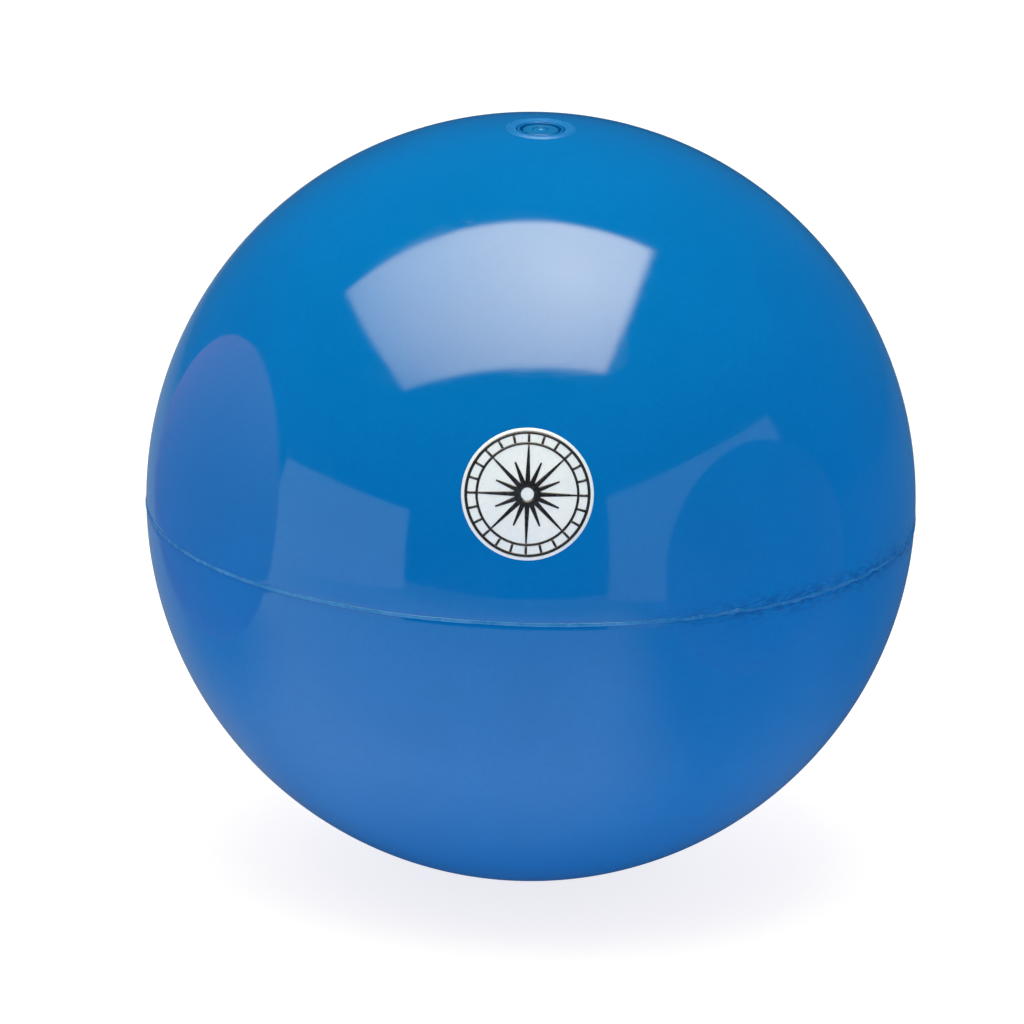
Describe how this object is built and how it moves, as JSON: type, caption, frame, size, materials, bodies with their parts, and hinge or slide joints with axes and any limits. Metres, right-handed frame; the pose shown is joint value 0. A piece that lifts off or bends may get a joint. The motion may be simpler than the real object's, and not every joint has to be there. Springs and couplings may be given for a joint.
{
  "type": "rhythmic gymnastics ball",
  "caption": "Hollow glossy ball for rhythmic gymnastics, bonded from moulded half shells, with a ringed inflation valve closed by a small plug and a round printed mark.",
  "frame": {"origin": "centre of the ball", "axes": "+Z from the centre through the valve, -Y towards the front, the side that carries the printed mark"},
  "size_m": [0.1904, 0.1904, 0.1902],
  "materials": {
    "shell": "gloss",
    "cement": "satin",
    "valve_housing": "satin",
    "valve_core": "satin",
    "valve_plug": "satin",
    "white_ink": "satin",
    "black_ink": "satin"
  },
  "bodies": {
    "ball": {"upper_shell": "shell", "lower_shell": "shell", "seam_cement": "cement", "valve_housing": "valve_housing", "valve_core": "valve_core", "mark_base": "white_ink", "mark_lines": "black_ink"},
    "plug": {"valve_plug": "valve_plug"}
  },
  "joints": [
    {"name": "plug_pull", "type": "slide", "parent": "ball", "child": "plug", "axis": [0, 0, 1], "range_m": [0, 0.02]}
  ]
}
